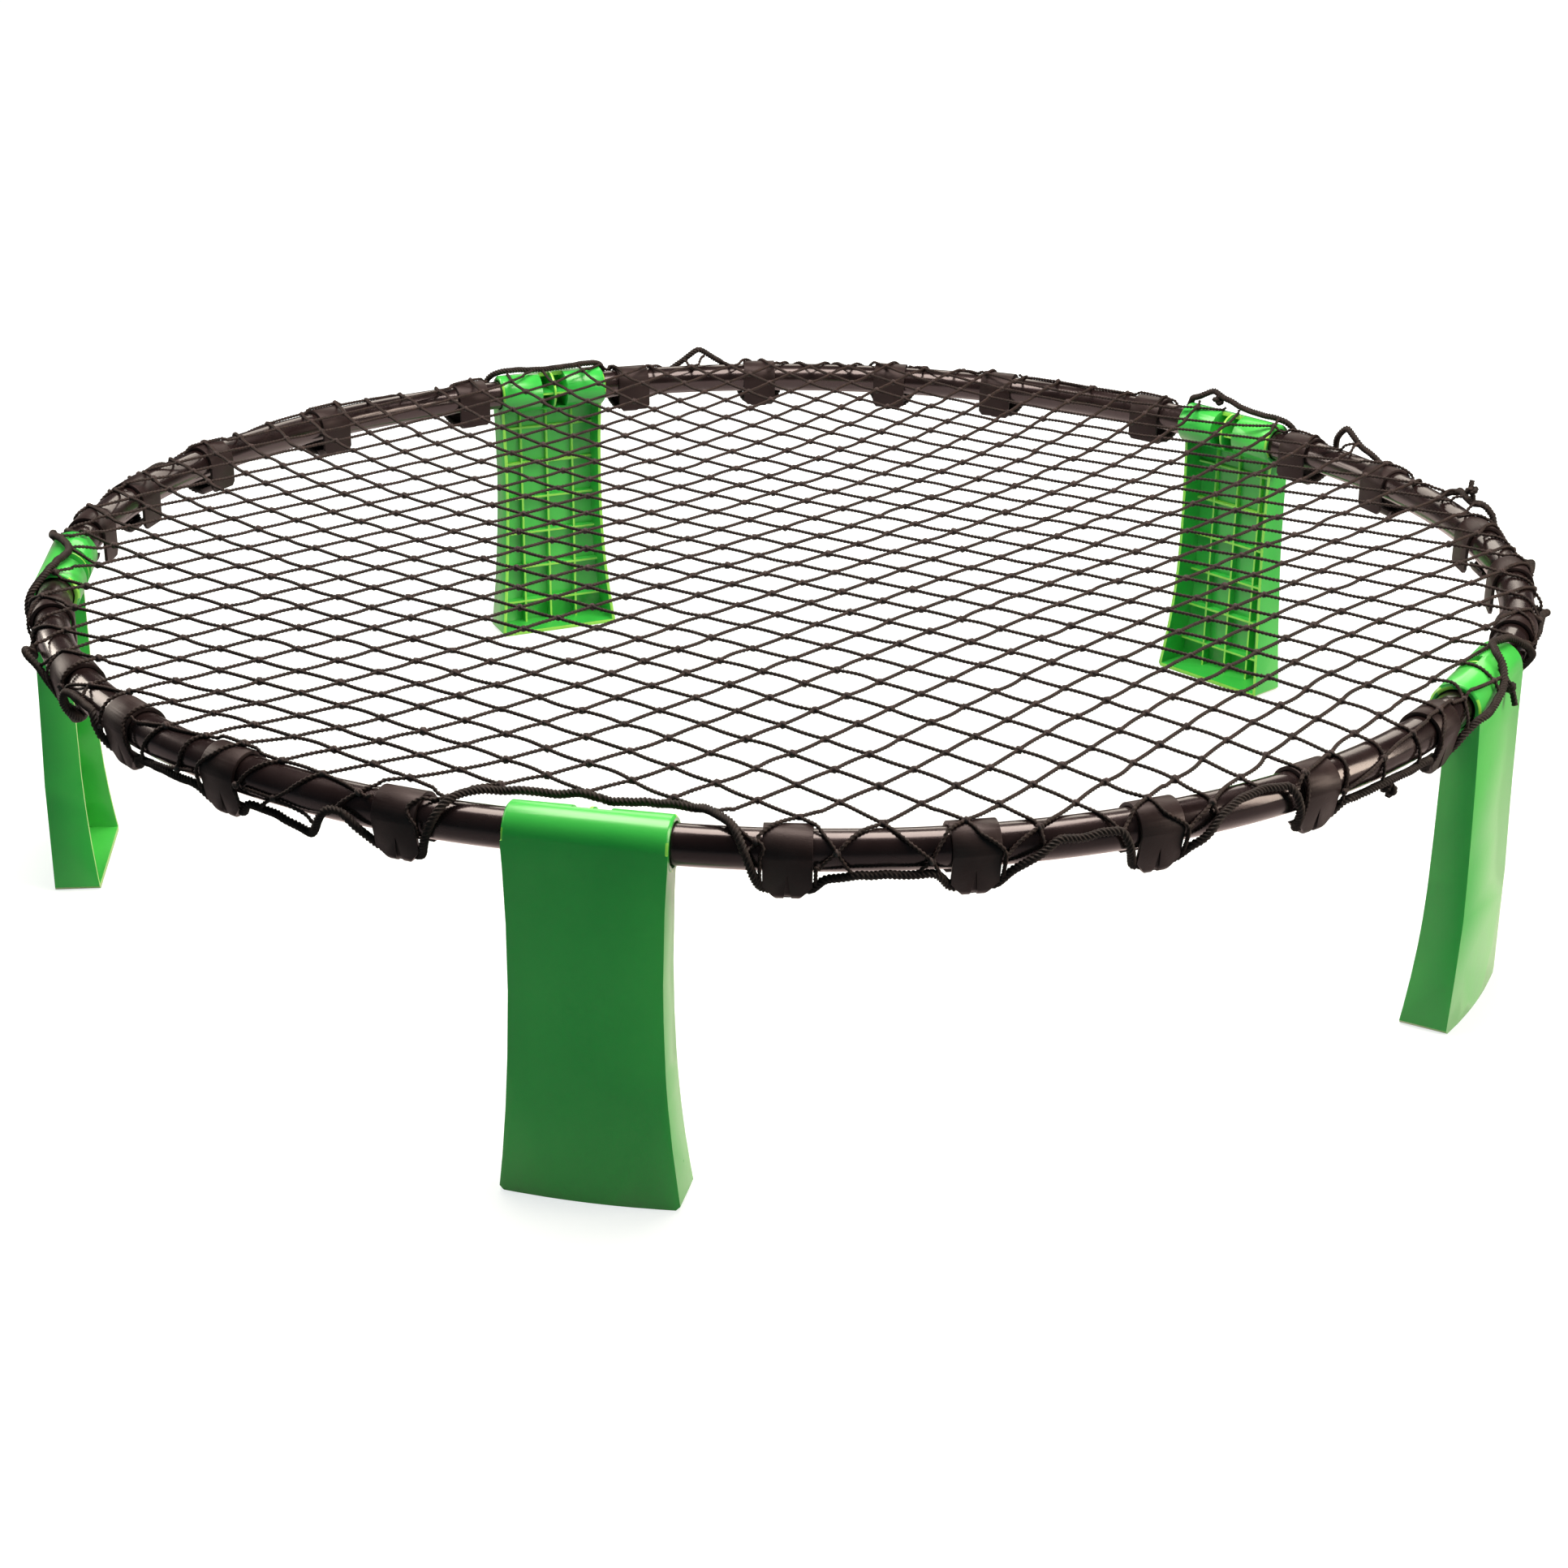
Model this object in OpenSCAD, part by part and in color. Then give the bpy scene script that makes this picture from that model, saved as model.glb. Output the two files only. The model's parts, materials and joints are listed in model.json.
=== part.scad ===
// Roundnet set: a square-mesh net pulled over a ring of five steel tubes, on five legs that fold in.
// Millimetres. The origin is on the ground under the middle of the ring, +Z is up, leg 1 faces -Y.
// Every leg is drawn once, in its own frame: X points out of the ring, Y runs along the tube, Z is up.

/* [Ring] */
// Distance from the middle of the ring to the tube axis at a leg
ring_apothem = 445; // [430:1:460]
// Height of the tube axis above the ground
rim_height = 193; // [180:1:220]
// Outside diameter of the rim tubes
tube_d = 21; // [19:0.5:23]
// Wall of the rim tubes
tube_wall = 1.2; // [0.8:0.1:2]
// Straight run at a tube's end, measured from the middle of the leg
tube_straight = 24; // [20:1:30]
// How much smaller a tube's straight ends are drawn, so that they slide into the sleeve
end_draw = 0.2; // [0.1:0.05:0.5]

/* [Leg sleeve] */
// Length of the sleeve that holds two tube ends
sleeve_length = 83; // [76:1:90]
// Wall of the sleeve at its mouths
sleeve_wall = 3; // [2.4:0.1:4]
// Radial gap between the tube and the sleeve's mouths
mouth_gap = 1; // [0.8:0.1:1.4]
// Radial running gap between the tube and the bearing land
bearing_gap = 0.08; // [0.03:0.01:0.1]
// Width of the window in the middle of the sleeve
window_width = 20; // [14:1:22]
// Wall on each side of the window, which stops the tube
stop_wall = 2; // [1.4:0.2:3]
// Gap between a tube's end and its stop
end_gap = 0.3; // [0.2:0.1:1]
// Thickness of the cross ribs in the window
window_rib = 1.6; // [1:0.2:2.4]
// Bevel round the sleeve's outer edges
sleeve_bevel = 1.2; // [0.4:0.1:1.8]

/* [Leg blade] */
// Width at the narrowest place
leg_waist = 78.6; // [72:0.2:82]
// Height of the narrowest place
waist_height = 125; // [100:1:140]
// Width on the ground
foot_width = 95; // [86:1:105]
// Reach of the foot outwards of the tube axis, at the middle of the face
foot_out = 20.7; // [16:0.1:26]
// Reach of the foot inwards of the tube axis
foot_in = 10; // [6:0.5:14]
// Reach of the side walls inwards of the tube axis, above the flare
side_in = 4; // [2:0.5:5]
// Height at which the side walls start to deepen towards the foot
flare_height = 90; // [60:1:110]
// How far the face bulges between its side edges, at the foot
face_bow = 3; // [1:0.1:5]
// Wall of the face and the sides
leg_wall = 2.4; // [1.8:0.1:3.2]
// Thickness of the foot plate
foot_plate = 2.6; // [1.8:0.1:4]
// Bevel at the foot's lower corners
foot_bevel = 2.5; // [1:0.1:4]

/* [Leg ribs] */
// Thickness of the ribs behind the face
rib_wall = 1.6; // [1:0.1:2.4]
// Place of the ribs' free edges, outwards of the tube axis
rib_line = 10.5; // [6:0.1:11.5]
// Distance between the upright ribs
rib_column_pitch = 21; // [16:0.5:24]
// Height of the lowest cross rib
rib_first_height = 20; // [12:1:26]
// Distance between the cross ribs
rib_row_pitch = 28.4; // [24:0.2:31]

/* [Clip] */
// Length of a clip along the tube
clip_width = 24; // [20:1:30]
// Wall of a clip
clip_wall = 2; // [1.6:0.1:2.6]
// Gap between a clip and the tube it sits on
clip_seat_gap = 0.3; // [0.2:0.05:0.5]
// Drop of the inner cheek below the tube axis
cheek_drop = 18.5; // [14:0.5:20]
// Place of the rope seat's centre, outwards of the tube axis
hook_out = 3.5; // [2:0.5:5]
// Drop of the rope seat's centre below the tube axis
hook_drop = 18.8; // [17:0.1:21]
// Wall of the hook
hook_wall = 2; // [1.4:0.1:2.6]
// Upturn of the hook's tip
hook_tip = 1.2; // [0.6:0.1:2]
// Width of the clip at its lowest edge
clip_tip_width = 10; // [7:0.5:14]
// Depth of the slanted corners above the lowest edge
clip_corner_rise = 8; // [5:0.5:10]
// Width of the wedge-shaped groove in the outer cheek, at the clip's lowest edge
wedge_width = 4; // [2:0.2:6]
// Drop of the wedge groove's point below the tube axis
wedge_drop = 8.5; // [6:0.5:11]
// Depth of the wedge groove
wedge_depth = 1.1; // [0.6:0.1:1.3]
// Gap along the tube between a leg's sleeve and the usual place of the nearest clip
clip_end_gap = 26.5; // [24:0.5:30]

/* [Net] */
// Diameter of the net's cords
cord_d = 2; // [1.4:0.1:2.6]
// Diameter of the edge rope
rope_d = 5; // [4:0.2:6]
// Clear gap between cords, rope and what they pass
cord_gap = 0.3; // [0.2:0.05:0.4]
// Direction of the lower cords
net_angle_a = -23.5; // [-40:0.5:-15]
// Distance between the lower cords
net_pitch_a = 27.8; // [24:0.1:32]
// Sideways place of the lower cord nearest the middle
net_shift_a = -13.5; // [-14:0.5:14]
// Direction of the upper cords
net_angle_b = 59.5; // [50:0.5:75]
// Distance between the upper cords
net_pitch_b = 27.8; // [24:0.1:32]
// Sideways place of the upper cord nearest the middle
net_shift_b = 11.5; // [-14:0.5:14]

/* [Hidden] */
$fn = 96;
legs = 5;
clips_per_tube = 5;
rib_columns = 3;
rib_rows = 6;
leg_pitch = 360 / legs;
half_pitch = leg_pitch / 2;

// Ring: straight runs at the legs, joined by arcs
arc_r = ring_apothem - tube_straight / tan(half_pitch);
arc_centre = tube_straight / sin(half_pitch);
arc_length = arc_r * leg_pitch * PI / 180;
run_length = 2 * tube_straight + arc_length;
tube_r = tube_d / 2;
end_r = (tube_d - end_draw) / 2;
tube_end = window_width / 2 + stop_wall + end_gap;

// Leg
sleeve_r = tube_r + mouth_gap + sleeve_wall;
sleeve_half = sleeve_length / 2;
waist_r = edge_radius(waist_height, (foot_width - leg_waist) / 2);
flare_r = edge_radius(flare_height, foot_in - side_in);
bow_r = edge_radius(foot_width / 2, face_bow);

// Clip
seat_r = tube_r + clip_seat_gap;
clip_r = seat_r + clip_wall;
hook_r = rope_d / 2 + cord_gap;
hook_outer_r = hook_r + hook_wall;
clip_low = hook_drop + hook_outer_r;
cheek_slope = atan2(clip_r - hook_out, hook_drop)
    - asin(hook_outer_r / norm([clip_r - hook_out, hook_drop]));

// A clip is pushed along its tube by hand, so each one lies a little off its even place.
clip_nudges = [[16, 3, -5, -8, 4], [16, 14, -5, 28, 14], [-5, 24, 10, 13, 14], [-14, 8, 26, 18, -6],
    [1, 9, -11, -24, -17]];
first_clip = sleeve_half + clip_end_gap + clip_width / 2;
clip_step = (run_length - 2 * first_clip) / (clips_per_tube - 1);

// Net: two layers of cords, over the clips and down the outside of the tubes
lower_r = clip_r + cord_gap + cord_d / 2;
upper_r = lower_r + cord_d + cord_gap / 3;
net_margin = 25;
net_reach = ring_apothem - net_margin;
cord_sides = 6;
rope_sides = 8;
scan_length = 200;
scan_step = 2;
search_margin = 60;
search_rounds = 18;
wrap_turn = 20;
wrap_scan = 3;
wrap_low = -84;
rope_look = 9;
rope_glance = 3;
rope_stare = 1;
rope_far = 20;

// Edge rope, as an angle round the tube (0 outwards, 90 up) and a distance from its axis
rope_clear = rope_d / 2 + cord_gap;
leg_lift = 2.8;
shoulder_lift = 0.9;
leg_turn = 154;
leg_radius = sleeve_r + rope_d + leg_lift;
shoulder_turn = 118;
shoulder_radius = sleeve_r + rope_clear + shoulder_lift;
hug_turn = 20;
hug_radius = tube_r + rope_clear + cord_gap;
hang_turn = -34;
hook_turn = atan2(-hook_drop, hook_out);
hook_radius = norm([hook_out, hook_drop]);
hook_hold = clip_width / 2 + 1;
steep_hold = clip_width / 2 + rope_clear;

// ---- Places on the ring ----

// Radius of the arc that leaves a straight edge by "rise" over the length "run"
function edge_radius(run, rise) = (run * run + rise * rise) / (2 * rise);

function leg_angle(k) = -90 + leg_pitch * (k - 1);

function polar(angle, r) = [r * cos(angle), r * sin(angle)];

// Point of the tube axis, and the outward direction there, "s" along the ring from leg k
function ring_place(k, s) =
    let (a = leg_angle(k), back = run_length - s)
    s < tube_straight ? concat(polar(a, ring_apothem) + polar(a + 90, s), [a])
    : back < tube_straight
        ? concat(polar(a + leg_pitch, ring_apothem) - polar(a + leg_pitch + 90, back), [a + leg_pitch])
    : let (turn = (s - tube_straight) / arc_r * 180 / PI)
        concat(polar(a + half_pitch, arc_centre) + polar(a + turn, arc_r), [a + turn]);

// The same read backwards: a point over the ring gives [leg, place along the ring, distance outwards]
function ring_local(p) =
    let (round_angle = atan2(p[1], p[0]) - leg_angle(1),
        k = 1 + floor(((round_angle % 360) + 360) % 360 / leg_pitch),
        a = leg_angle(k),
        along = p * polar(a + 90, 1),
        before = -(p * polar(a + leg_pitch + 90, 1)),
        q = p - polar(a + half_pitch, arc_centre),
        turn = ((atan2(q[1], q[0]) - a) % 360 + 360) % 360)
    along < tube_straight ? [k, along, p * polar(a, 1) - ring_apothem]
    : before < tube_straight ? [k, run_length - before, p * polar(a + leg_pitch, 1) - ring_apothem]
    : [k, tube_straight + turn * PI / 180 * arc_r, norm(q) - arc_r];

function clip_place(k, n) = first_clip + clip_step * (n - 1) + clip_nudges[k - 1][n - 1];

module on_ring(k, s) {
    place = ring_place(k, s);
    translate([place[0], place[1], rim_height]) rotate([0, 0, place[2]]) children();
}

// ---- Swept cords ----

function ring_points(centre, across, up, r, sides) =
    [for (n = [0:sides - 1]) centre + r * cos(n * 360 / sides) * across + r * sin(n * 360 / sides) * up];

function unit(v) = v / norm(v);

// Closed tube along "path"; "outs" point from the rim tube's axis to each path point
module swept(path, outs, d, sides, closed) {
    count = len(path);
    last = closed ? count - 1 : count - 2;
    points = [for (n = [0:count - 1])
        let (next = path[closed ? (n + 1) % count : min(n + 1, count - 1)],
            prev = path[closed ? (n + count - 1) % count : max(n - 1, 0)],
            along = unit(next - prev),
            across = unit(cross(along, outs[n])))
        each ring_points(path[n], across, cross(along, across), d / 2, sides)];
    walls = [for (n = [0:last], m = [0:sides - 1])
        let (a = n * sides, b = ((n + 1) % count) * sides, m2 = (m + 1) % sides)
        each [[a + m, b + m, b + m2], [a + m, b + m2, a + m2]]];
    caps = closed ? [] : [[for (m = [0:sides - 1]) m], [for (m = [sides - 1:-1:0]) (count - 1) * sides + m]];
    polyhedron(points = points, faces = concat(walls, caps), convexity = 10);
}

// ---- Rim tubes ----

// Two straight ends and the bend between them, "inset" below the outer surface
module tube_run(inset, start) {
    for (side = [-1, 1])
        rotate([0, 0, -side * half_pitch]) translate([ring_apothem, side * start, 0])
            rotate([-90 * side, 0, 0]) cylinder(r = end_r - inset, h = tube_straight - start);
    translate([arc_centre, 0, 0]) rotate([0, 0, -half_pitch])
        rotate_extrude(angle = leg_pitch, $fn = 360)
            translate([arc_r, 0]) circle(r = tube_r - inset, $fn = 96);
}

module rim_tube(k) {
    color([0.10, 0.08, 0.08])
        translate([0, 0, rim_height]) rotate([0, 0, leg_angle(k) + half_pitch])
            difference() {
                tube_run(0, tube_end);
                tube_run(tube_wall, tube_end - 1);
            }
}

// ---- Legs ----

// Side view of the blade, X out and Z up; "inset" shrinks it to the hollow behind the face
module blade_side(inset) {
    back = inset > 0 ? foot_in + 5 : foot_in;
    above = inset > 0 ? back : side_in;
    floor_z = inset > 0 ? foot_plate : 0;
    face_low = foot_out - inset;
    face_top = sleeve_r - inset;
    polygon([[face_low, 0], [face_top, rim_height], [-above, rim_height], [-above, flare_height],
        [face_low - (foot_out - sleeve_r) * flare_height / rim_height, flare_height]]);
    difference() {
        polygon([[face_low, 0], [face_low - (foot_out - sleeve_r) * flare_height / rim_height, flare_height],
            [-back, flare_height], [-back, 0]]);
        if (inset == 0) translate([-side_in - flare_r, flare_height]) circle(r = flare_r, $fn = 360);
    }
}

// Front view of the blade, Y across and Z up
module blade_front(inset, low) {
    intersection() {
        difference() {
            translate([-foot_width / 2, low]) square([foot_width, rim_height - low]);
            for (side = [-1, 1]) {
                translate([side * (leg_waist / 2 + waist_r), waist_height])
                    circle(r = waist_r + inset, $fn = 360);
                translate([side * foot_width / 2, 0]) rotate(45)
                    square(foot_bevel * sqrt(2), center = true);
            }
        }
        union() {
            translate([-foot_width / 2, 0]) square([foot_width, waist_height]);
            translate([-sleeve_half + inset, 0]) square([sleeve_length - 2 * inset, rim_height]);
        }
    }
}

module blade(inset, low) {
    intersection() {
        rotate([90, 0, 0]) linear_extrude(foot_width + 2, center = true) blade_side(inset);
        rotate([90, 0, 90]) linear_extrude(100, center = true) blade_front(inset, low);
        translate([foot_out - bow_r, 0, low]) cylinder(r = bow_r - inset, h = rim_height - low, $fn = 360);
    }
}

module ribs() {
    top = rim_height - tube_r;
    depth = foot_out - rib_line;
    intersection() {
        blade(0, 0);
        union() {
            for (n = [0:rib_columns - 1])
                translate([rib_line, (n - (rib_columns - 1) / 2) * rib_column_pitch - rib_wall / 2, 0])
                    cube([depth, rib_wall, top]);
            for (n = [0:rib_rows - 1])
                translate([rib_line, -foot_width / 2, rib_first_height + n * rib_row_pitch - rib_wall / 2])
                    cube([depth, foot_width, rib_wall]);
        }
    }
}

module sleeve_body() {
    rotate([90, 0, 0])
        rotate_extrude()
            polygon([[0, -sleeve_half], [sleeve_r - sleeve_bevel, -sleeve_half],
                [sleeve_r, -sleeve_half + sleeve_bevel], [sleeve_r, sleeve_half - sleeve_bevel],
                [sleeve_r - sleeve_bevel, sleeve_half], [0, sleeve_half]]);
}

// Bearing lands next to the stops, and wider mouths that clear the bent part of the tubes
module sleeve_bores() {
    land_start = window_width / 2 + stop_wall;
    for (side = [-1, 1]) rotate([-90 * side, 0, 0]) {
        translate([0, 0, land_start]) cylinder(r = end_r + bearing_gap, h = sleeve_half - land_start + 1);
        translate([0, 0, tube_straight - end_gap])
            cylinder(r = tube_r + mouth_gap, h = sleeve_half - tube_straight + end_gap + 1);
    }
}

// The window is open at the top and towards the middle of the ring
module sleeve_window() {
    room_r = sleeve_r - sleeve_wall;
    difference() {
        union() {
            rotate([90, 0, 0]) cylinder(r = room_r, h = window_width, center = true);
            translate([-sleeve_r - 1, -window_width / 2, -room_r])
                cube([sleeve_r + 1 - window_rib / 2, window_width, room_r + sleeve_r + 1]);
        }
        rotate([90, 0, 0]) cylinder(r = sleeve_r, h = window_rib, center = true);
        translate([-room_r, -window_width / 2 - 1, -window_rib / 2])
            cube([2 * room_r, window_width + 2, window_rib]);
    }
}

module leg(k) {
    color([0.20, 0.62, 0.22])
        rotate([0, 0, leg_angle(k)]) translate([ring_apothem, 0, 0])
            difference() {
                union() {
                    difference() {
                        blade(0, 0);
                        blade(leg_wall, foot_plate);
                    }
                    ribs();
                    translate([0, 0, rim_height]) sleeve_body();
                }
                translate([0, 0, rim_height]) {
                    sleeve_bores();
                    sleeve_window();
                }
            }
}

// ---- Clips ----

// A bar along the tube, with its section in X and Z
module along_tube(length) {
    rotate([90, 0, 0]) linear_extrude(length, center = true) children();
}

// Band over the tube, a flat cheek inside it, and outside it a cheek that ends in the rope's hook
// Where the cheek's slope touches a circle round the rope seat
function beside_hook(r) = [hook_out + r * cos(cheek_slope), -hook_drop - r * sin(cheek_slope)];

module clip_body() {
    width = clip_width + 2;
    intersection() {
        along_tube(width) circle(r = clip_r);
        along_tube(width) translate([-clip_r, -clip_wall]) square([2 * clip_r, clip_r + clip_wall]);
    }
    along_tube(width) translate([-clip_r, -cheek_drop]) square([clip_wall, cheek_drop]);
    along_tube(width) polygon([[clip_r, 0], beside_hook(hook_outer_r), beside_hook(hook_r), [seat_r, 0]]);
    intersection() {
        along_tube(width) translate([hook_out, -hook_drop]) circle(r = hook_outer_r);
        along_tube(width) translate([hook_out - hook_outer_r, -clip_low])
            square([2 * hook_outer_r, hook_outer_r + clip_wall / 2]);
    }
    along_tube(width) translate([hook_out - hook_outer_r, -hook_drop]) square([hook_wall, hook_tip]);
}

// Front view of a clip, Y along the tube and Z up
// What the wedge groove leaves of the outer cheek and the hook
module clip_core() {
    polygon([[0, 0], [clip_r - wedge_depth, 0], beside_hook(hook_outer_r - wedge_depth), [0, -hook_drop]]);
    translate([hook_out, -hook_drop]) circle(r = hook_outer_r - wedge_depth);
}

module wedge_groove() {
    low = clip_low + 1;
    half = wedge_width / 2 * (low - wedge_drop) / (clip_low - wedge_drop);
    difference() {
        translate([hook_out, 0, 0]) rotate([90, 0, 90]) linear_extrude(clip_r)
            polygon([[0, -wedge_drop], [half, -low], [-half, -low]]);
        along_tube(2 * wedge_width) clip_core();
    }
}

module clip_front() {
    shoulder = clip_low - clip_corner_rise;
    polygon([[-clip_width / 2, clip_r], [clip_width / 2, clip_r], [clip_width / 2, -shoulder],
        [clip_tip_width / 2, -clip_low], [-clip_tip_width / 2, -clip_low], [-clip_width / 2, -shoulder]]);
}

module clip(k, n) {
    color([0.15, 0.12, 0.12]) on_ring(k, clip_place(k, n))
        difference() {
            intersection() {
                clip_body();
                rotate([90, 0, 90]) linear_extrude(3 * clip_r, center = true) clip_front();
            }
            along_tube(clip_width + 4) circle(r = seat_r);
            along_tube(clip_width + 4) translate([hook_out, -hook_drop]) circle(r = hook_r);
            wedge_groove();
        }
}

// ---- Edge rope ----

function blend(a, b, u) = a + (b - a) * u;

function ease(u) = u * u * (3 - 2 * u);

// Stations [place, turn, radius] after "from" up to "to": eased along the tube, even round it
function lay(from, to, count) = [for (n = [1:count]) let (u = n / count, v = ease(u))
    [blend(from[0], to[0], u), blend(from[1], to[1], v), blend(from[2], to[2], v)]];

function coil(from, to, count) = [for (n = [1:count]) let (u = n / count) blend(from, to, u)];

function mirrored(stations) = [for (n = [len(stations) - 1:-1:0])
    [run_length - stations[n][0], stations[n][1], stations[n][2]]];

// From the middle of a leg, up and over the tube, down its outside and into the first hook
function rope_rise(first) =
    let (middle = [0, leg_turn, leg_radius],
        shoulder = [sleeve_half + 1.5, shoulder_turn, shoulder_radius],
        hook = [first - steep_hold, hook_turn, hook_radius],
        hug = [blend(shoulder[0], hook[0], 0.5), hug_turn, hug_radius])
    concat([middle], lay(middle, shoulder, 4), coil(shoulder, hug, 4), coil(hug, hook, 4));

// Through the hooks, and up against the tube between them
function rope_hooks(k) = [for (n = [1:clips_per_tube])
    let (here = clip_place(k, n), leave = [here + hook_hold, hook_turn, hook_radius],
        arrive = n < clips_per_tube ? clip_place(k, n + 1) - hook_hold : 0,
        hang = [(leave[0] + arrive) / 2, hang_turn, hug_radius])
    each n < clips_per_tube
        ? concat([leave], lay(leave, hang, 3), lay(hang, [arrive, hook_turn, hook_radius], 3))
        : [[here, hook_turn, hook_radius]]];

function rope_stations(k) = concat(
    rope_rise(clip_place(k, 1)), rope_hooks(k),
    mirrored(rope_rise(run_length - clip_place(k, clips_per_tube))));

function rope_turn(stations, s) = lookup(s, [for (p = stations) [p[0], p[1]]]);

function rope_radius(stations, s) = lookup(s, [for (p = stations) [p[0], p[2]]]);

function round_tube(k, s, turn, r) =
    let (place = ring_place(k, s), out = polar(place[2], r * cos(turn)))
    [place[0] + out[0], place[1] + out[1], rim_height + r * sin(turn)];

module edge_rope() {
    route = [for (k = [1:legs]) let (all = rope_stations(k))
        each [for (n = [0:len(all) - 2]) concat([k], all[n])]];
    path = [for (p = route) round_tube(p[0], p[1], p[2], p[3])];
    outs = [for (p = route) unit(round_tube(p[0], p[1], p[2], p[3]) - round_tube(p[0], p[1], 0, 0))];
    color([0.11, 0.09, 0.08]) swept(path, outs, rope_d, rope_sides, true);
}

// ---- Net ----

function clip_near(k, s) = min([for (n = [1:clips_per_tube]) abs(s - clip_place(k, n))]);

function rope_distance(stations, s, out, up, step) = min([for (d = [-rope_look:step:rope_look])
    let (turn = rope_turn(stations, s + d), r = rope_radius(stations, s + d))
    norm([d, out - r * cos(turn), up - r * sin(turn)])]);

// The steep parts of the rope are looked at closely, which is only worth it near the rope
function near_rope(stations, s, out, up) =
    rope_distance(stations, s, out, up, rope_glance) < rope_far
    && rope_distance(stations, s, out, up, rope_stare) < rope_clear + cord_d / 2 + 2 * cord_gap;

// A cord stops short of the rope, of a leg's sleeve and of a clip's outer cheek
function blocked(stations, k, s, out, up) =
    near_rope(stations, s, out, up)
    || (min(s, run_length - s) < sleeve_half + 3 && out > -sleeve_r - cord_d - 1)
    || (clip_near(k, s) < clip_width / 2 + cord_d && up < -2 && out > 0);

function on_cord(angle, shift, t) = polar(angle + 90, shift) + polar(angle, t);

// How far along the cord it crosses the tube axis
function crossing(angle, shift, way, low, high, count) =
    count == 0 ? (low + high) / 2
    : let (middle = (low + high) / 2, out = ring_local(on_cord(angle, shift, way * middle))[2])
        out > 0 ? crossing(angle, shift, way, low, middle, count - 1)
        : crossing(angle, shift, way, middle, high, count - 1);

// First value in the list from which the cord is blocked, or the last one
function first_true(flags, values, n = 0) =
    n >= len(values) - 1 || flags[n] ? values[n] : first_true(flags, values, n + 1);

// One end of a cord: [how far the flat part goes, the last turn of its wrap or 90 for none, leg, place]
function cord_end(angle, shift, way, r) =
    let (crown = crossing(angle, shift, way, 0, ring_apothem + search_margin, search_rounds),
        at = ring_local(on_cord(angle, shift, way * crown)),
        stations = rope_stations(at[0]),
        flats = [each [max(0, crown - scan_length):scan_step:crown], crown],
        flat_stops = [for (t = flats) let (p = ring_local(on_cord(angle, shift, way * t)))
            blocked(p[0] == at[0] ? stations : rope_stations(p[0]), p[0], p[1], p[2], r)],
        any_flat = max([for (f = flat_stops) f ? 1 : 0]) == 1,
        turns = [for (a = [90:-wrap_scan:wrap_low]) a],
        turn_stops = any_flat ? [] : [for (a = turns)
            blocked(stations, at[0], at[1], r * cos(a), r * sin(a))],
        last_turn = any_flat ? 90 : min(90, first_true(turn_stops, turns) + wrap_scan),
        // The flat part stops where its round end clears the first ring of the wrap
        slant = abs(sin(angle - ring_place(at[0], at[1])[2])),
        flat_end = crown - cord_d / 2 * slant - cord_gap / 2)
    [any_flat ? first_true(flat_stops, flats) - scan_step : flat_end, last_turn, at[0], at[1]];

function cord_shifts(pitch, shift) =
    [for (n = [-ceil(net_reach / pitch):ceil(net_reach / pitch)])
        if (abs(shift + n * pitch) < net_reach) shift + n * pitch];

module flat_cords(angle, pitch, shift, r) {
    for (place = cord_shifts(pitch, shift)) {
        start = cord_end(angle, place, -1, r)[0];
        end = cord_end(angle, place, 1, r)[0];
        p = on_cord(angle, place, -start);
        translate([p[0], p[1], rim_height + r]) rotate([0, 90, angle])
            cylinder(d = cord_d, h = start + end, $fn = 24);
    }
}

module wrapped_cords(angle, pitch, shift, r) {
    for (place = cord_shifts(pitch, shift), way = [-1, 1]) {
        end = cord_end(angle, place, way, r);
        sweep_turn = 90 - end[1];
        count = ceil(sweep_turn / wrap_turn);
        if (sweep_turn > wrap_turn) {
            turns = [for (n = [0:count]) 90 - sweep_turn * n / count];
            middle = round_tube(end[2], end[3], 0, 0);
            path = [for (a = turns) round_tube(end[2], end[3], a, r)];
            swept(path, [for (p = path) unit(p - middle)], cord_d, cord_sides, false);
        }
    }
}

module net_cords_lower() color([0.16, 0.12, 0.12]) flat_cords(net_angle_a, net_pitch_a, net_shift_a, lower_r);

module net_cords_upper() color([0.18, 0.13, 0.13]) flat_cords(net_angle_b, net_pitch_b, net_shift_b, upper_r);

module net_edge_lower() color([0.16, 0.12, 0.12])
    wrapped_cords(net_angle_a, net_pitch_a, net_shift_a, lower_r);

module net_edge_upper() color([0.18, 0.13, 0.13])
    wrapped_cords(net_angle_b, net_pitch_b, net_shift_b, upper_r);

for (k = [1:legs]) {
    rim_tube(k);
    leg(k);
    for (n = [1:clips_per_tube])
        clip(k, n);
}
net_cords_lower();
net_cords_upper();
net_edge_lower();
net_edge_upper();
edge_rope();
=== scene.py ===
# %% [markdown]
# # A roundnet set
# Five steel tubes make a ring on five moulded legs, and a knotted net is pulled over it. The shape of
# tubes, legs and clips is already fixed by the CAD model, so this lesson gives them their finish and
# makes what CAD only holds a place for: the twisted cords, their knots and the edge rope.
# Lengths are in metres. The origin is on the ground under the middle of the ring, and +Z is up.

import json
import math

import bmesh
import bpy
from mathutils import Matrix, Vector, noise


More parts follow.
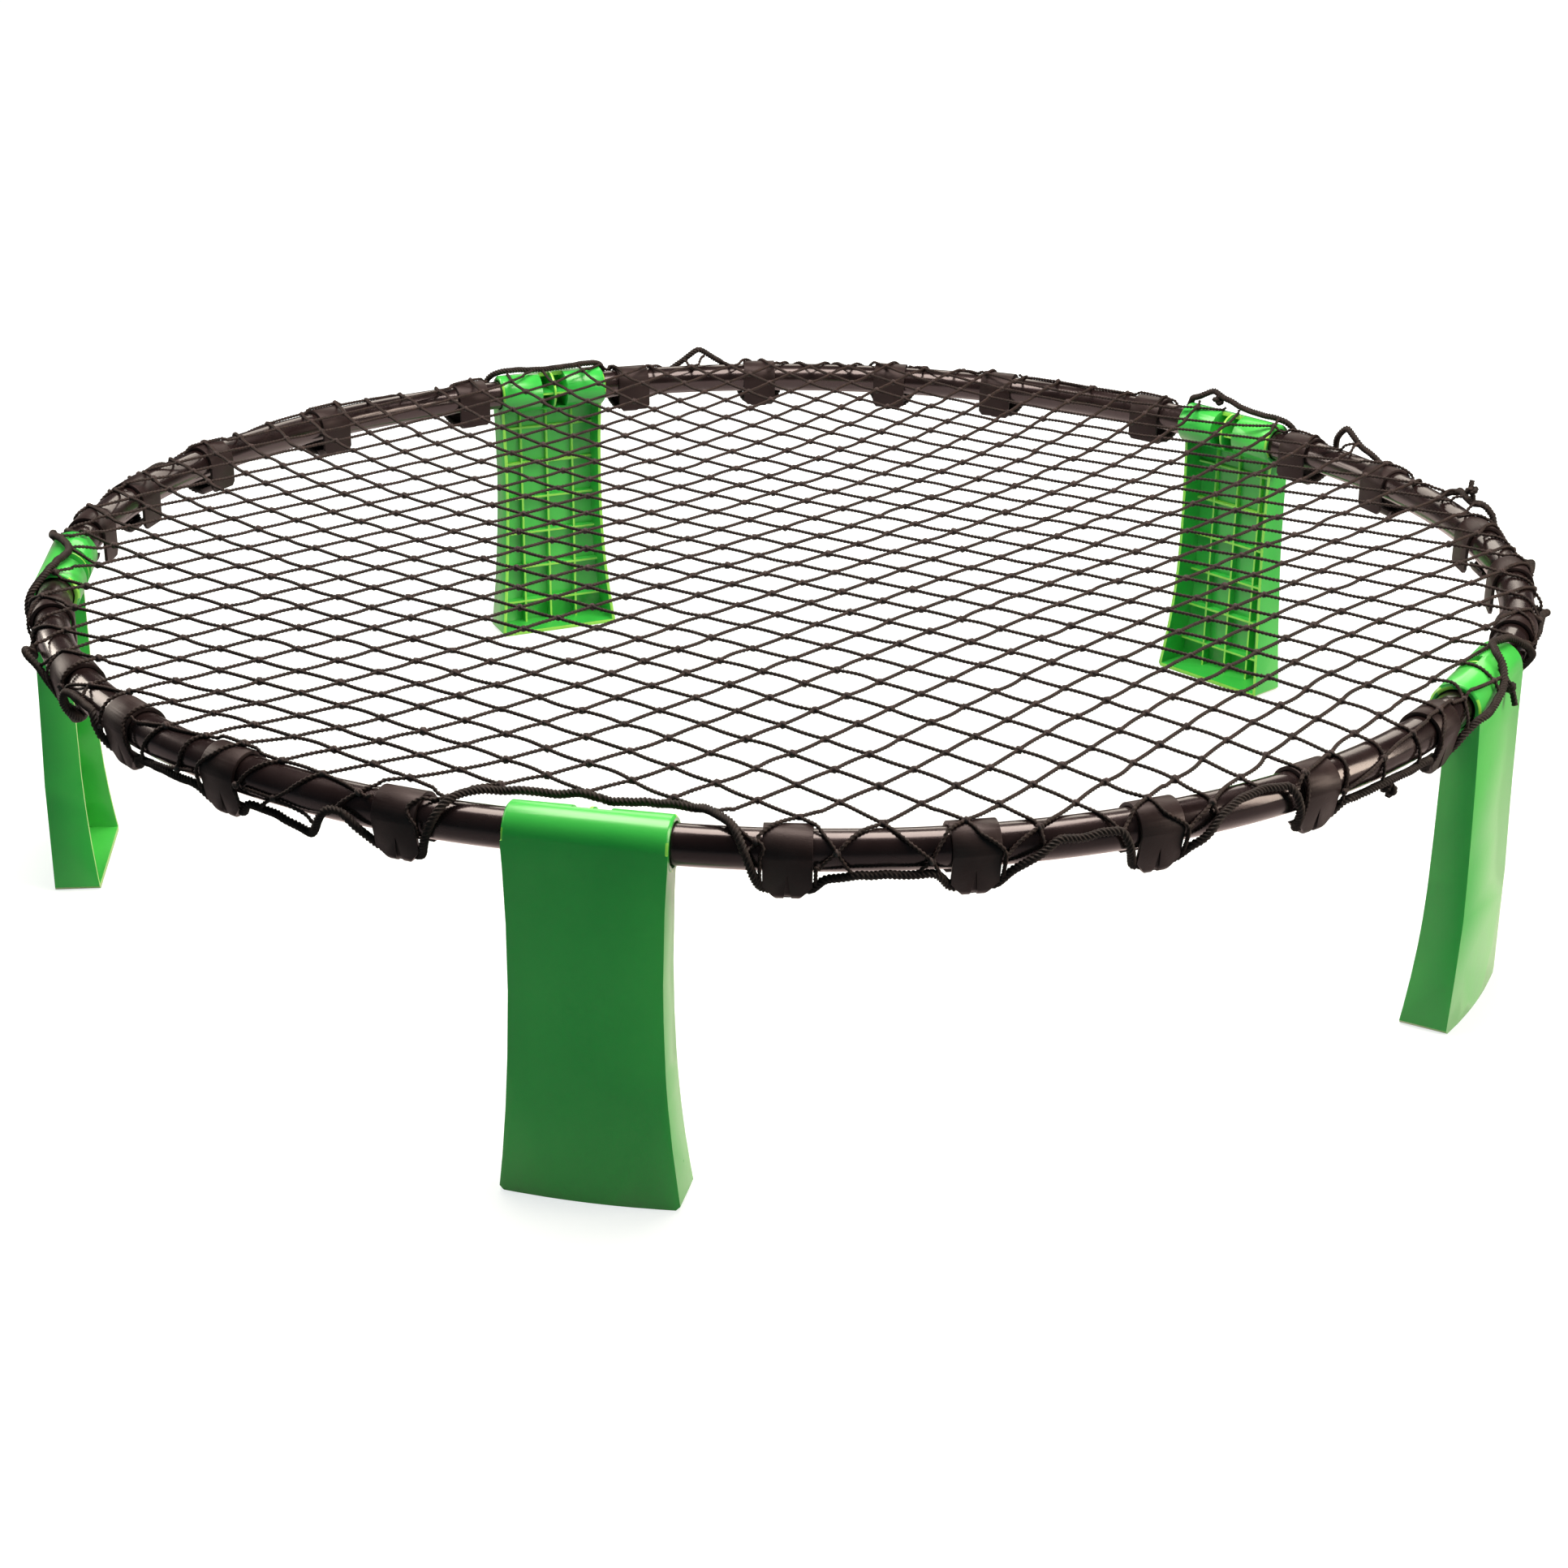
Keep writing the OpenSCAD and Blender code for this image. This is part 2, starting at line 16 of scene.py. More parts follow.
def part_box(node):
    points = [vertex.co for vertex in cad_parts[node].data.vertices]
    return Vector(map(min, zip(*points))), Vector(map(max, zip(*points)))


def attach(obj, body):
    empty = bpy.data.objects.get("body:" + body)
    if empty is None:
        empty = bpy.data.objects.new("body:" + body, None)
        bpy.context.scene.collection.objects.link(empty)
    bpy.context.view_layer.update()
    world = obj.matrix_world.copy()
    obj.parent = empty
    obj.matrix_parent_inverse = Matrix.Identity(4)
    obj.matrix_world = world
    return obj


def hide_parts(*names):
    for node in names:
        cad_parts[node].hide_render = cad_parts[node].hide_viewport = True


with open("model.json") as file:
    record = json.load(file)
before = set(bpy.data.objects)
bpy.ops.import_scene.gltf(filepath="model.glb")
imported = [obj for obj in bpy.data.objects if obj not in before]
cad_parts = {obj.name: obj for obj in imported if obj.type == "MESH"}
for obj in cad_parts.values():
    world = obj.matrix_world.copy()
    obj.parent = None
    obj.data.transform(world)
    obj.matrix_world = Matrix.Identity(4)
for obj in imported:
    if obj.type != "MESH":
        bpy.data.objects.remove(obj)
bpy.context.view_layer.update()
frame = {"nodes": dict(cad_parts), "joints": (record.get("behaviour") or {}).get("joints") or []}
mm = 0.001

# %% [markdown]
# ## The camera
# The camera is made first, because it decides how fine each detail has to be. It stands at the height
# of a table, 1.6 metres from the middle of the ring, and looks down at it. One degree of roll too much
# would show at once on a ring this flat, so the three turns are kept apart: heading, tilt and roll.

# %% Place the camera
camera_place = Vector((0.3295, -1.5690, 0.7177))
camera_heading = math.radians(11.804)
camera_tilt = math.radians(66.968)
camera_roll = math.radians(0.503)

camera_data = bpy.data.cameras.new("camera")
camera_data.sensor_width = 36.0
camera_data.lens = 61.0
camera_data.clip_start = 0.01
camera = bpy.data.objects.new("camera", camera_data)
bpy.context.scene.collection.objects.link(camera)
camera.matrix_world = (
    Matrix.Translation(camera_place)
    @ Matrix.Rotation(camera_heading, 4, "Z")
    @ Matrix.Rotation(camera_tilt, 4, "X")
    @ Matrix.Rotation(camera_roll, 4, "Z")
)
bpy.context.scene.camera = camera
print("camera at", tuple(round(c, 3) for c in camera.location))

# %% [markdown]
# ## Finding your way round the ring
# Everything on this object hangs on the tube's centre line: straight for a few centimetres through each
# leg, and an arc from leg to leg. Two helpers are enough to place any piece. One turns "so far along
# from leg k" into a point, the other turns a point over the ring back into a leg, a distance along and a
# distance outwards. The leg's hinges give the ring's size, so nothing is measured twice.

# %% Walk along the ring
LEGS = 5
CLIPS_PER_TUBE = 5
LEG_PITCH = math.radians(72)
hinge_place = Vector(frame["joints"][0]["pos_m"])
ring_apothem = math.hypot(hinge_place.x, hinge_place.y)
rim_height = hinge_place.z
tube_straight = 24 * mm
arc_radius = ring_apothem - tube_straight / math.tan(LEG_PITCH / 2)
arc_centre = tube_straight / math.sin(LEG_PITCH / 2)
run_length = 2 * tube_straight + arc_radius * LEG_PITCH


def polar(angle, radius):
    return Vector((radius * math.cos(angle), radius * math.sin(angle)))


def leg_angle(leg):
    return -math.pi / 2 + LEG_PITCH * (leg - 1)


def ring_place(leg, along):
    """Point of the centre line seen from above, and the outward angle there."""
    here = leg_angle(leg)
    back = run_length - along
    if along < tube_straight:
        return polar(here, ring_apothem) + polar(here + math.pi / 2, along), here
    if back < tube_straight:
        after = here + LEG_PITCH
        return polar(after, ring_apothem) - polar(after + math.pi / 2, back), after
    outward = here + (along - tube_straight) / arc_radius
    return polar(here + LEG_PITCH / 2, arc_centre) + polar(outward, arc_radius), outward


def ring_local(point):
    """[leg, distance along, distance outwards] of a point seen from above."""
    round_angle = (math.atan2(point[1], point[0]) - leg_angle(1)) % (2 * math.pi)
    leg = 1 + int(round_angle // LEG_PITCH)
    here = leg_angle(leg)
    after = here + LEG_PITCH
    flat = Vector((point[0], point[1]))
    along = flat.dot(polar(here + math.pi / 2, 1))
    back = -flat.dot(polar(after + math.pi / 2, 1))
    if along < tube_straight:
        return leg, along, flat.dot(polar(here, 1)) - ring_apothem
    if back < tube_straight:
        return leg, run_length - back, flat.dot(polar(after, 1)) - ring_apothem
    arm = flat - polar(here + LEG_PITCH / 2, arc_centre)
    turn = (math.atan2(arm.y, arm.x) - here) % (2 * math.pi)
    return leg, tube_straight + turn * arc_radius, arm.length - arc_radius


def round_tube(leg, along, turn, radius):
    """Point beside the tube: turn 0 is outwards and 90 degrees is up, both seen along the tube."""
    centre, outward = ring_place(leg, along)
    side = centre + polar(outward, radius * math.cos(turn))
    return Vector((side.x, side.y, rim_height + radius * math.sin(turn)))


print("one tube from leg to leg:", round(run_length, 4), "m")

# %% Find the clips on each tube
clip_width = 24 * mm


def clip_place(leg, number):
    low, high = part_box(f"clip_{leg}_{number}")
    return ring_local((low + high) / 2)[1]


clip_places = {
    leg: [clip_place(leg, n + 1) for n in range(CLIPS_PER_TUBE)] for leg in range(1, LEGS + 1)
}
for leg, places in clip_places.items():
    print("clips after leg", leg, [round(place, 3) for place in places])

# %% [markdown]
# ## Small helpers for materials
# A finish is a little chain of nodes. Every chain here starts from the object's own coordinates, which
# stay with the piece when it moves. Writing the same few links again and again hides what matters, so
# one helper makes a material and another adds a node with its sockets filled in.

# %% Helpers that build node trees
def add_node(tree, kind, **sockets):
    """A new node; names with a capital letter fill sockets, the others set the node's own choices."""
    node = tree.nodes.new(kind)
    for name, value in sockets.items():
        if name[0].isupper():
            socket = node.inputs[name.replace("_", " ")]
            if isinstance(value, bpy.types.NodeSocket):
                tree.links.new(value, socket)
            else:
                socket.default_value = value
        else:
            setattr(node, name, value)
    return node


def new_material(name, **shader_sockets):
    """A material with one Principled shader, and the tree and shader to work on."""
    material = bpy.data.materials.new(name)
    material.use_nodes = True
    tree = material.node_tree
    shader = tree.nodes["Principled BSDF"]
    for socket, value in shader_sockets.items():
        shader.inputs[socket.replace("_", " ")].default_value = value
    return material, tree, shader


def speckle(tree, scale, detail=3.0, stretch=(1.0, 1.0, 1.0)):
    """Noise on the object's own coordinates, stretched where the finish has a grain."""
    place = add_node(tree, "ShaderNodeTexCoord").outputs["Object"]
    mapping = add_node(tree, "ShaderNodeMapping", Vector=place, Scale=stretch)
    cloud = add_node(
        tree, "ShaderNodeTexNoise", Vector=mapping.outputs["Vector"], Scale=scale, Detail=detail
    )
    return cloud.outputs["Fac"]


def between(tree, factor, low, high):
    """Maps a grey value to a range of numbers."""
    span = add_node(tree, "ShaderNodeMapRange", Value=factor, To_Min=low, To_Max=high)
    span.inputs["From Min"].default_value = 0.3
    span.inputs["From Max"].default_value = 0.7
    return span.outputs["Result"]


def two_tone(tree, factor, first, second):
    """Maps a grey value to a colour between two."""
    ramp = add_node(tree, "ShaderNodeValToRGB", Fac=factor)
    ramp.color_ramp.elements[0].position = 0.3
    ramp.color_ramp.elements[0].color = (*first, 1)
    ramp.color_ramp.elements[1].position = 0.7
    ramp.color_ramp.elements[1].color = (*second, 1)
    return ramp.outputs["Color"]


def add_bump(tree, shader, height, depth, strength=1.0):
    bump = add_node(tree, "ShaderNodeBump", Height=height, Distance=depth, Strength=strength)
    tree.links.new(bump.outputs["Normal"], shader.inputs["Normal"])


# %% [markdown]
# ## Black paint on steel tube
# The tubes are sprayed with a brownish black gloss paint. Such a coat is never perfectly even: it has a
# faint orange peel, and handling leaves it a little duller in patches. Both come from noise, one as a
# bump a few hundredths of a millimetre deep and one as a change of roughness.

# %% Tube paint
tube_paint, tree, shader = new_material(
    "tube_gloss_paint", Specular_IOR_Level=0.5, Coat_Weight=0.4, Coat_Roughness=0.1
)
shader.inputs["Specular Tint"].default_value = (1.0, 0.80, 0.86, 1)
patches = speckle(tree, 38)
paint_colour = two_tone(tree, patches, (0.010, 0.005, 0.005), (0.018, 0.010, 0.010))
tree.links.new(paint_colour, shader.inputs["Base Color"])
tree.links.new(between(tree, patches, 0.20, 0.30), shader.inputs["Roughness"])
add_bump(tree, shader, speckle(tree, 420, detail=2), 0.00003)
print("made", tube_paint.name)

# %% [markdown]
# ## Glossy moulded plastic
# The legs are injection moulded in one go. The plastic is a saturated green that lets a little light in,
# so thin edges look lighter and yellower than the broad faces. That lighter edge is painted highlight: a
# second, lime material, which the bevel that rounds the edges can hand its new faces to.

# %% Leg plastic and its painted edge highlight
def leg_plastic(name, dark, light):
    material, tree, shader = new_material(
        name, Specular_IOR_Level=0.36, Coat_Weight=0.42, Coat_Roughness=0.2
    )
    flow = speckle(tree, 11, detail=3, stretch=(1, 1, 0.5))
    tree.links.new(two_tone(tree, flow, dark, light), shader.inputs["Base Color"])
    tree.links.new(between(tree, flow, 0.27, 0.36), shader.inputs["Roughness"])
    add_bump(tree, shader, speckle(tree, 260, detail=2), 0.00005)
    return material


leg_face_plastic = leg_plastic("leg_green", (0.026, 0.430, 0.054), (0.075, 0.560, 0.078))
# A lime copy of the plastic: painted highlight for the light that thin edges let through and catch.
leg_painted_edge_highlight = leg_plastic("leg_edge_painted_highlight", (0.290, 0.700, 0.070), (0.380, 0.780, 0.100))
print("made", leg_face_plastic.name, "and", leg_painted_edge_highlight.name)

# %% [markdown]
# ## Satin moulded plastic
# The clips are black plastic from a mould with a fine spark-eroded texture. The grain is what spreads
# the highlight into a soft grey sheen. A rougher surface and a fine bump stand for it.

# %% Clip plastic
clip_plastic, tree, shader = new_material("clip_satin_black", Specular_IOR_Level=0.24)
shader.inputs["Specular Tint"].default_value = (1.0, 0.82, 0.86, 1)
wear = speckle(tree, 60)
clip_colour = two_tone(tree, wear, (0.015, 0.008, 0.008), (0.027, 0.016, 0.016))
tree.links.new(clip_colour, shader.inputs["Base Color"])
tree.links.new(between(tree, wear, 0.36, 0.52), shader.inputs["Roughness"])
add_bump(tree, shader, speckle(tree, 900, detail=2), 0.00006)
print("made", clip_plastic.name)

# %% [markdown]
# ## Twisted cord
# Cord has no smooth surface: light catches single fibres. The strands are real geometry further down,
# so the material only adds what is smaller than a strand, which is the fibre's fuzz and uneven dye. The
# knots' copy of the twine is painted lighter: a painted highlight for the light that each lump catches.

# %% Cord and rope finish
def cord_finish(name, dark, light):
    material, tree, shader = new_material(name, Roughness=0.66, Specular_IOR_Level=0.3)
    dye = speckle(tree, 210, detail=4)
    tree.links.new(two_tone(tree, dye, dark, light), shader.inputs["Base Color"])
    add_bump(tree, shader, speckle(tree, 2400, detail=2), 0.00008)
    return material


net_cord_finish = cord_finish("net_twine", (0.010, 0.0045, 0.0040), (0.030, 0.014, 0.012))
# Same twine as the cords but painted lighter: a painted highlight on the knots.
knot_painted_highlight_finish = cord_finish("knot_twine_painted_lighter", (0.022, 0.012, 0.012), (0.056, 0.034, 0.034))
rope_finish = cord_finish("rope_fibre", (0.008, 0.0040, 0.0040), (0.026, 0.014, 0.012))
print("made", net_cord_finish.name, knot_painted_highlight_finish.name, "and", rope_finish.name)

# %% [markdown]
# ## Geometry Nodes for cords
# A cord is a path and a twisted section. One tree serves them all: it takes edges, spaces points evenly
# along them, turns the section a bit more at every point, and sweeps it. Its inputs are what a rope
# maker would name: radius, number of strands, how deep the groove between strands is, and the length of
# one full turn, called the lay.

# %% A tree that lays a twisted cord along edges
def new_tree(name, sockets):
    """An empty Geometry Nodes tree with named inputs: the tree, its input and its output node."""
    tree = bpy.data.node_groups.new(name, "GeometryNodeTree")
    tree.interface.new_socket("Geometry", in_out="INPUT", socket_type="NodeSocketGeometry")
    for label, kind in sockets:
        tree.interface.new_socket(label, in_out="INPUT", socket_type="NodeSocket" + kind)
    tree.interface.new_socket("Geometry", in_out="OUTPUT", socket_type="NodeSocketGeometry")
    return tree, tree.nodes.new("NodeGroupInput"), tree.nodes.new("NodeGroupOutput")


def finish_tree(tree, end, made, material):
    """The same end for every tree: plain geometry, with its material set."""
    plain = add_node(tree, "GeometryNodeRealizeInstances", Geometry=made)
    done = add_node(
        tree, "GeometryNodeSetMaterial", Geometry=plain.outputs["Geometry"], Material=material
    )
    tree.links.new(done.outputs["Geometry"], end.inputs["Geometry"])


def calculate(tree, operation, first, second=0.0):
    node = tree.nodes.new("ShaderNodeMath")
    node.operation = operation
    for socket, value in zip(node.inputs, (first, second)):
        if isinstance(value, bpy.types.NodeSocket):
            tree.links.new(value, socket)
        else:
            socket.default_value = value
    return node.outputs["Value"]


def twisted_section(tree, given):
    """A circle with one bulge for each strand."""
    circle = add_node(
        tree, "GeometryNodeCurvePrimitiveCircle", Resolution=given["Sides"], Radius=given["Radius"]
    )
    around = add_node(tree, "GeometryNodeSplineParameter").outputs["Factor"]
    angle = calculate(tree, "MULTIPLY", around, 2 * math.pi)
    wave = calculate(tree, "COSINE", calculate(tree, "MULTIPLY", angle, given["Strands"]))
    swell = calculate(tree, "ADD", calculate(tree, "MULTIPLY", wave, given["Groove"]), 1.0)
    place = add_node(tree, "GeometryNodeInputPosition").outputs["Position"]
    grown = add_node(tree, "ShaderNodeVectorMath", operation="SCALE", Scale=swell)
    tree.links.new(place, grown.inputs[0])
    shaped = add_node(
        tree, "GeometryNodeSetPosition",
        Geometry=circle.outputs["Curve"], Position=grown.outputs["Vector"],
    )
    return shaped.outputs["Geometry"]


def cord_tree():
    tree, start, end = new_tree(
        "lay_cord",
        [("Radius", "Float"), ("Strands", "Int"), ("Groove", "Float"), ("Lay", "Float"),
         ("Spacing", "Float"), ("Sides", "Int"), ("Material", "Material")],
    )
    given = start.outputs
    curve = add_node(tree, "GeometryNodeMeshToCurve", Mesh=given["Geometry"]).outputs["Curve"]
    even = add_node(
        tree, "GeometryNodeResampleCurve", Curve=curve, mode="LENGTH", Length=given["Spacing"]
    )
    run = add_node(tree, "GeometryNodeSplineParameter").outputs["Length"]
    turn = calculate(tree, "MULTIPLY", calculate(tree, "DIVIDE", run, given["Lay"]), 2 * math.pi)
    twisted = add_node(tree, "GeometryNodeSetCurveTilt", Curve=even.outputs["Curve"], Tilt=turn)
    swept = add_node(
        tree, "GeometryNodeCurveToMesh",
        Curve=twisted.outputs["Curve"], Profile_Curve=twisted_section(tree, given),
    )
    swept.inputs["Fill Caps"].default_value = True
    finish_tree(tree, end, swept.outputs["Mesh"], given["Material"])
    return tree


lay_cord = cord_tree()
print("cord tree has", len(lay_cord.nodes), "nodes")

# %% Run a tree on edges or points, and keep plain meshes
def edge_object(name, paths, closed=False):
    """A mesh of edges only: one chain for each path."""
    points = []
    edges = []
    for path in paths:
        first = len(points)
        points += [tuple(p) for p in path]
        edges += [(first + n, first + n + 1) for n in range(len(path) - 1)]
        if closed:
            edges.append((first + len(path) - 1, first))
    mesh = bpy.data.meshes.new(name)
    mesh.from_pydata(points, edges, [])
    source = bpy.data.objects.new(name, mesh)
    bpy.context.scene.collection.objects.link(source)
    return source


def run_tree(source, tree, values):
    """Evaluates the tree on the source and returns a plain mesh object of the same name."""
    modifier = source.modifiers.new(tree.name, "NODES")
    modifier.node_group = tree
    for item in tree.interface.items_tree:
        if item.item_type == "SOCKET" and item.name in values:
            modifier[item.identifier] = values[item.name]
    name = source.name
    graph = bpy.context.evaluated_depsgraph_get()
    mesh = bpy.data.meshes.new_from_object(source.evaluated_get(graph), depsgraph=graph)
    source.modifiers.clear()
    bpy.data.objects.remove(source)
    mesh.name = name
    piece = bpy.data.objects.new(name, mesh)
    bpy.context.scene.collection.objects.link(piece)
    mesh.shade_smooth()
    return piece


def triangle_count(piece):
    return sum(len(face.vertices) - 2 for face in piece.data.polygons)


print("helpers ready")

# %% [markdown]
# ## Rim tubes
# A tube is the simplest sweep of all: a plain circle along the centre line. The CAD tube has the same
# shape but flat triangles, which a gloss coat would show as stripes, so each one is swept again with
# smooth shading. The ends stay inside the leg sleeves, as they do in CAD.

# %% Sweep the five tubes
tube_radius = 10.5 * mm
tube_inset = 0.1 * mm  # a hair thinner, clear of the sleeves that turn round it
tube_end = 12.3 * mm
steps_along_tube = 160
no_twist = 1000.0


def tube_path(leg):
    span = run_length - 2 * tube_end
    return [
        round_tube(leg, tube_end + span * n / steps_along_tube, 0, 0)
        for n in range(steps_along_tube + 1)
    ]


for leg in range(1, LEGS + 1):
    tube = run_tree(
        edge_object(f"tube_{leg}", [tube_path(leg)]),
        lay_cord,
        {"Radius": tube_radius - tube_inset, "Strands": 1, "Groove": 0.0, "Lay": no_twist,
         "Spacing": 4 * mm, "Sides": 48, "Material": tube_paint},
    )
    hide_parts(f"rim_tube_{leg}")
    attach(tube, "ring")
    print(tube.name, "triangles:", triangle_count(tube))

# %% [markdown]
# ## Moulded parts with rounded edges
# No moulded edge is sharp: the tool is, but the plastic isn't. The CAD legs and clips have the right
# shape with perfect edges, so a copy of each mesh is welded, its flat faces are joined again, and a
# bevel rounds what is left. The bevel is narrow enough to keep every wall where CAD has it.

# %% A helper that rounds the edges of a CAD copy
widest_rim = 3.4 * mm
sharp_turn = math.radians(40)
weld_distance = 0.02 * mm
flat_turn = math.radians(1.2)
bevel_turn = math.radians(32)
most_corners = 24
band_drop = 2 * mm
band_rise = 0.16 * mm
band_slack = 0.05 * mm
level_slack = 0.03 * mm


def is_rim(face):
    """True for a face as narrow as a wall is thick, with a sharp turn along both its long sides."""
    longest = max(edge.calc_length() for edge in face.edges)
    sides = [
        edge for edge in face.edges
        if edge.calc_length() > 0.5 * longest and len(edge.link_faces) == 2
    ]
    sharp = [edge for edge in sides if edge.calc_face_angle() > sharp_turn]
    width = 2 * face.calc_area() / face.calc_perimeter()
    return width < widest_rim and len(sharp) >= 2


def close_band_step(shape, outward):
    """Slide the end of a clip's band inwards until it runs straight on into the outer cheek."""
    out = polar(outward, 1).to_3d()
    step_height = rim_height - band_drop
    level = [vert for vert in shape.verts if abs(vert.co.z - step_height) < level_slack]
    reaches = sorted(out.dot(vert.co) for vert in level)
    band, cheek = reaches[-1], reaches[-3]
    top = band + band_rise
    for vert in shape.verts:
        below, reach = rim_height - vert.co.z, out.dot(vert.co)
        if 0 < below < band_drop + level_slack and reach > band - band_slack:
            vert.co += out * (top + (cheek - top) * below / band_drop - reach)
    bmesh.ops.remove_doubles(shape, verts=level, dist=band_slack)


def rounded_copy(node, name, edge, materials, outward=None):
    """A welded copy of a CAD node with rounded edges. A clip also says which way is outward."""
    mesh = frame["nodes"][node].data.copy()
    mesh.name = name
    mesh.materials.clear()
    for material in materials:
        mesh.materials.append(material)
    shape = bmesh.new()
    shape.from_mesh(mesh)
    bmesh.ops.remove_doubles(shape, verts=shape.verts, dist=weld_distance)
    if outward is not None:
        close_band_step(shape, outward)
    bmesh.ops.dissolve_limit(shape, angle_limit=flat_turn, verts=shape.verts, edges=shape.edges)
    shape.normal_update()
    for face in shape.faces:
        face.smooth = True
        # Thin wall tops take the second material where there is one; on the legs it is the painted edge
        # highlight.
        face.material_index = 1 if len(materials) > 1 and is_rim(face) else 0
    bmesh.ops.triangulate(shape, faces=[f for f in shape.faces if len(f.verts) > most_corners])
    shape.to_mesh(mesh)
    shape.free()
    piece = bpy.data.objects.new(name, mesh)
    bpy.context.scene.collection.objects.link(piece)
    bevel = piece.modifiers.new("edges", "BEVEL")
    bevel.width = edge
    bevel.segments = 2
    bevel.limit_method = "ANGLE"
    bevel.angle_limit = bevel_turn
    bevel.use_clamp_overlap = True
    bevel.harden_normals = True
    # The bevel's new faces take the second material too, so rounded leg edges carry the painted
    # highlight.
    if len(materials) > 1:
        bevel.material = 1
    graph = bpy.context.evaluated_depsgraph_get()
    finished = bpy.data.meshes.new_from_object(piece.evaluated_get(graph), depsgraph=graph)
    piece.modifiers.clear()
    piece.data = finished
    finished.name = name
    return piece


# %% Legs
leg_edge = 0.55 * mm
for leg in range(1, LEGS + 1):
    moulding = rounded_copy(
        f"leg_{leg}", f"leg_moulding_{leg}", leg_edge, [leg_face_plastic, leg_painted_edge_highlight]
    )
    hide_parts(f"leg_{leg}")
    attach(moulding, f"leg_{leg}")
    print(moulding.name, "triangles:", triangle_count(moulding))

# %% Clips
# Where the round band stops and the flat outer cheek takes over, CAD leaves a step of a third of a
# millimetre. Light picks out such a line at once, so the copy closes it.
clip_edge = 0.35 * mm
for leg in range(1, LEGS + 1):
    for number in range(1, CLIPS_PER_TUBE + 1):
        node = f"clip_{leg}_{number}"
        outward = ring_place(leg, clip_places[leg][number - 1])[1]
        clip = rounded_copy(node, "moulded_" + node, clip_edge, [clip_plastic], outward)
        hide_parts(node)
        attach(clip, "ring")
print("clips:", LEGS * CLIPS_PER_TUBE, "triangles each:", triangle_count(clip))

# %% [markdown]
# ## The edge rope's route
# A cord that its object holds all the way needs no simulation: it goes where the hooks put it. The rope
# runs over the top or the inner side of each leg's sleeve, comes down the outside of the tube and passes
# through five hooks. Between hooks the net pulls it up against the tube, or leaves it slack. A station
# is a distance along the ring, a turn round the tube and a distance from the tube's axis. The CAD rope
# takes an even way from hook to hook by formula. Here the stations of each gap are listed one by one.

# %% Stations of the edge rope
rope_diameter = 4.4 * mm
hook_drop = 18.8
hook_out = 3.5
hook_turn = math.degrees(math.atan2(-hook_drop, hook_out))
hook_radius = math.hypot(hook_drop, hook_out)
hook_hold = 12.2
rope_leaves = 2.4
rising_turn = -57
rising_radius = 14
run_mm = run_length / mm
ring_mm = LEGS * run_mm

# Each station: mm past the leg's middle, degrees round the tube, mm from its axis
over_leg = {
    1: [(-79, -10, 13.6), (-70, 75, 13.6), (-62, 110, 15), (-50, 140, 19), (-30, 150, 22.5),
        (-12, 147, 24), (8, 152, 22), (30, 148, 22.5), (50, 140, 19.5), (62, 110, 15),
        (70, 75, 13.6), (79, -10, 13.6)],
    2: [(-58, -30, 13.6), (-50, -8, 14.5), (-44, -4, 17), (-25, 6, 17.4), (-8, 24, 17.6), (0, 40, 18),
        (10, 75, 18), (22, 88, 18.5), (34, 80, 17.6), (46, 60, 15.5), (60, 20, 13.6), (76, -20, 13.6)],
    3: [(-48, 20, 13.6), (-44, 60, 16), (-40, 72, 17.4), (-20, 80, 17.8), (-4, 84, 19), (10, 86, 23),
        (22, 88, 27), (34, 84, 20), (42, 78, 17.4), (50, 40, 14), (57, -10, 13.6)],
    4: [(-48, 30, 13.6), (-44, 66, 15.5), (-36, 84, 17), (-22, 96, 17.4), (0, 98, 17), (20, 92, 17),
        (36, 84, 17.6), (44, 60, 15.5), (49, 10, 13.6)],
    5: [(-68, -20, 13.6), (-55, 20, 14), (-44, 44, 17.4), (-28, 58, 17.8), (-12, 84, 18),
        (0, 102, 18.4), (10, 108, 18), (24, 96, 17.6), (38, 88, 17.4), (46, 80, 15.5),
        (58, 40, 13.8), (64, 0, 13.6)],
}

